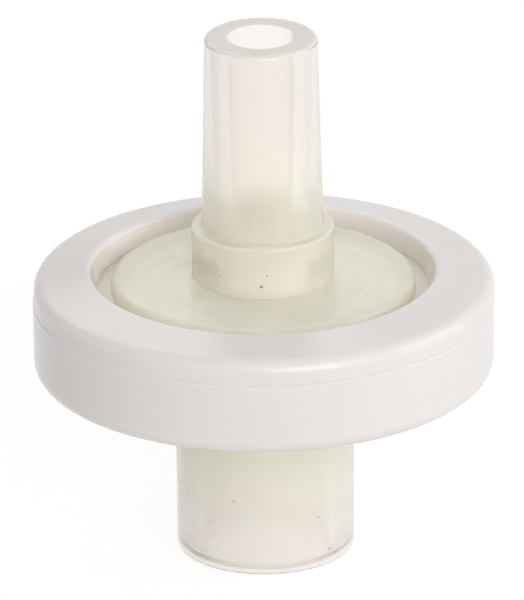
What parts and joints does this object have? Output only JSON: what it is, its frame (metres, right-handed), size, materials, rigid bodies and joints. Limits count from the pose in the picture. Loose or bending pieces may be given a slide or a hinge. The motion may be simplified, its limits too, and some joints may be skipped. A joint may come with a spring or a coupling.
{
  "type": "syringe filter",
  "caption": "Small round syringe filter: a clamped membrane disc in a moulded ring, a male Luer slip cone as outlet and a female Luer hub as inlet.",
  "frame": {"origin": "centre of the inlet hub's end face, which the filter stands on", "axes": "+Z along the common axis, from the inlet hub towards the outlet cone's tip; X and Y are equivalent"},
  "size_m": [0.0164, 0.0164, 0.0192],
  "materials": {
    "natural_pp": "natural polypropylene, milky translucent, moulded gloss",
    "white_pp": "white polypropylene, opaque, moulded gloss",
    "membrane": "matt microporous film"
  },
  "bodies": {
    "root": {"outlet_housing": "natural_pp", "inlet_housing": "natural_pp", "membrane": "membrane", "overmould_ring": "white_pp"}
  },
  "joints": []
}
